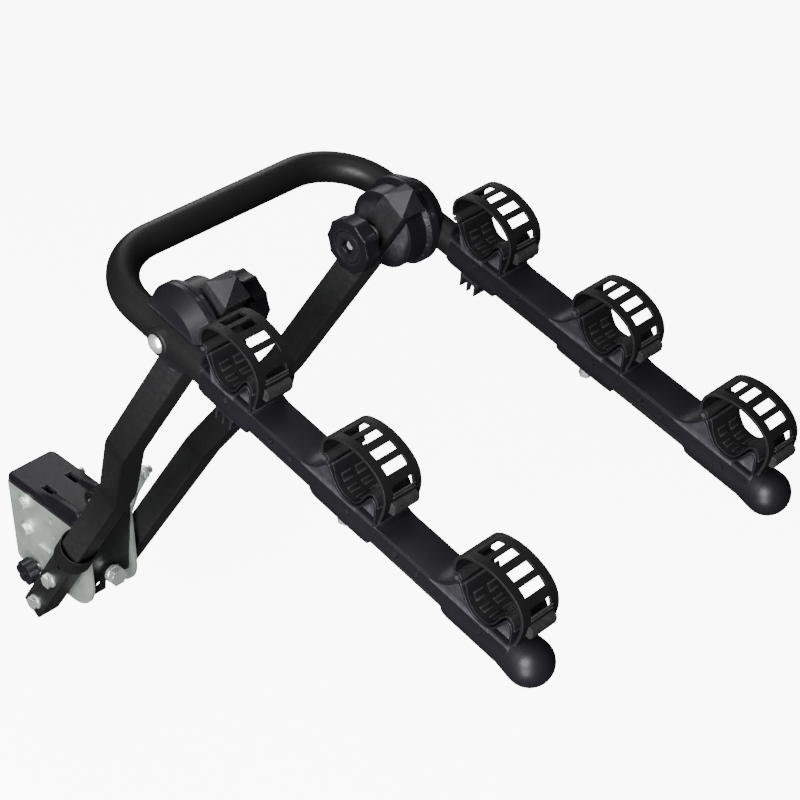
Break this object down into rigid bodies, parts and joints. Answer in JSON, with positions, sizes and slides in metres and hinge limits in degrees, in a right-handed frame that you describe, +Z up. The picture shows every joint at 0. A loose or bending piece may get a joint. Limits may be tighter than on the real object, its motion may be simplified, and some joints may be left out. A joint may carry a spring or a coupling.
{
  "type": "hitch mounted bike rack",
  "caption": "Bike rack that clamps to a tow ball: leaning side tubes carry a folding U-shaped tube whose arms hold bicycle frames in strapped cradles",
  "frame": {"origin": "centre of the clamped tow ball, in the middle plane of the rack", "axes": "+Z up, the vehicle toward +Y, the two arms reaching out toward -Y, X across the rack"},
  "size_m": [0.364, 0.9996, 0.7329],
  "materials": {
    "black_steel": "satin black powder coat",
    "zinc_plate": "pale zinc plating, satin",
    "zinc_bolt": "bright zinc plating",
    "black_plastic": "moulded, satin, slightly blue black",
    "rubber": "matte moulded rubber"
  },
  "bodies": {
    "frame": {"plate_left": "zinc_plate", "plate_right": "zinc_plate", "ball_cup": "black_steel", "rear_spacer": "black_steel", "plate_bolts": "zinc_bolt", "bracket_cover": "black_plastic", "front_plate": "black_steel", "clamp_bar": "black_steel", "coil_bush": "rubber", "coil_pin": "zinc_bolt", "lug_bolt": "zinc_bolt", "foot_left": "black_steel", "foot_spacers": "zinc_bolt", "foot_bolts": "zinc_bolt", "sleeve_left": "black_steel", "side_tube_left": "black_steel", "side_tube_right": "black_steel", "tube_caps": "black_plastic", "hub_housing_left": "black_plastic", "hub_housing_right": "black_plastic", "pivot_bolts": "zinc_bolt", "knob_washers": "zinc_bolt"},
    "arms": {"u_tube": "black_steel", "drum_left": "black_plastic", "drum_right": "black_plastic", "rail_left": "black_plastic", "rail_right": "black_plastic", "end_caps": "black_plastic", "rail_bolts": "zinc_bolt", "rail_clips": "black_plastic", "liners_left": "rubber", "liners_right": "rubber"},
    "knob_left": {"knob_left": "black_plastic"},
    "knob_right": {"knob_right": "black_plastic"},
    "clamp_screw": {"clamp_bolt": "zinc_bolt"},
    "jaw": {"clamp_jaw": "black_steel"},
    "side_screw": {"star_knob": "black_plastic", "star_screw": "zinc_bolt"},
    "strap_left_1": {"strap_left_1": "rubber"},
    "strap_left_2": {"strap_left_2": "rubber"},
    "strap_left_3": {"strap_left_3": "rubber"},
    "strap_right_1": {"strap_right_1": "rubber"},
    "strap_right_2": {"strap_right_2": "rubber"},
    "strap_right_3": {"strap_right_3": "rubber"}
  },
  "joints": [
    {"name": "arms_fold", "type": "hinge", "parent": "frame", "child": "arms", "pos_m": [0, -0.45, 0.577], "axis": [1, 0, 0], "range_deg": [-25, 110]},
    {"name": "knob_left_turn", "type": "hinge", "parent": "frame", "child": "knob_left", "pos_m": [-0.08, -0.45, 0.577], "axis": [-1, 0, 0], "range_deg": [0, 1080]},
    {"name": "knob_right_turn", "type": "hinge", "parent": "frame", "child": "knob_right", "pos_m": [0.08, -0.45, 0.577], "axis": [1, 0, 0], "range_deg": [0, 1080]},
    {"name": "clamp_screw_turn", "type": "hinge", "parent": "frame", "child": "clamp_screw", "pos_m": [0, -0.06, -0.029], "axis": [0, -1, 0], "range_deg": [0, 1801]},
    {"name": "jaw_slide", "type": "slide", "parent": "frame", "child": "jaw", "axis": [0, -1, 0], "range_m": [0, 0.01]},
    {"name": "side_screw_turn", "type": "hinge", "parent": "frame", "child": "side_screw", "pos_m": [-0.05, 0.034, -0.066], "axis": [-1, 0, 0], "range_deg": [0, 1080]},
    {"name": "strap_left_1_open", "type": "hinge", "parent": "arms", "child": "strap_left_1", "pos_m": [-0.1585, -0.52424, 0.60964], "axis": [-1, 0, 0], "range_deg": [0, 90]},
    {"name": "strap_left_2_open", "type": "hinge", "parent": "arms", "child": "strap_left_2", "pos_m": [-0.1585, -0.68014, 0.57364], "axis": [-1, 0, 0], "range_deg": [0, 90]},
    {"name": "strap_left_3_open", "type": "hinge", "parent": "arms", "child": "strap_left_3", "pos_m": [-0.1585, -0.83604, 0.53765], "axis": [-1, 0, 0], "range_deg": [0, 90]},
    {"name": "strap_right_1_open", "type": "hinge", "parent": "arms", "child": "strap_right_1", "pos_m": [0.1585, -0.52424, 0.60964], "axis": [-1, 0, 0], "range_deg": [0, 90]},
    {"name": "strap_right_2_open", "type": "hinge", "parent": "arms", "child": "strap_right_2", "pos_m": [0.1585, -0.68014, 0.57364], "axis": [-1, 0, 0], "range_deg": [0, 90]},
    {"name": "strap_right_3_open", "type": "hinge", "parent": "arms", "child": "strap_right_3", "pos_m": [0.1585, -0.83604, 0.53765], "axis": [-1, 0, 0], "range_deg": [0, 90]}
  ],
  "couplings": [
    {"joint": "clamp_screw_turn", "follows": "jaw_slide", "rad_per_m": 3141.6}
  ]
}
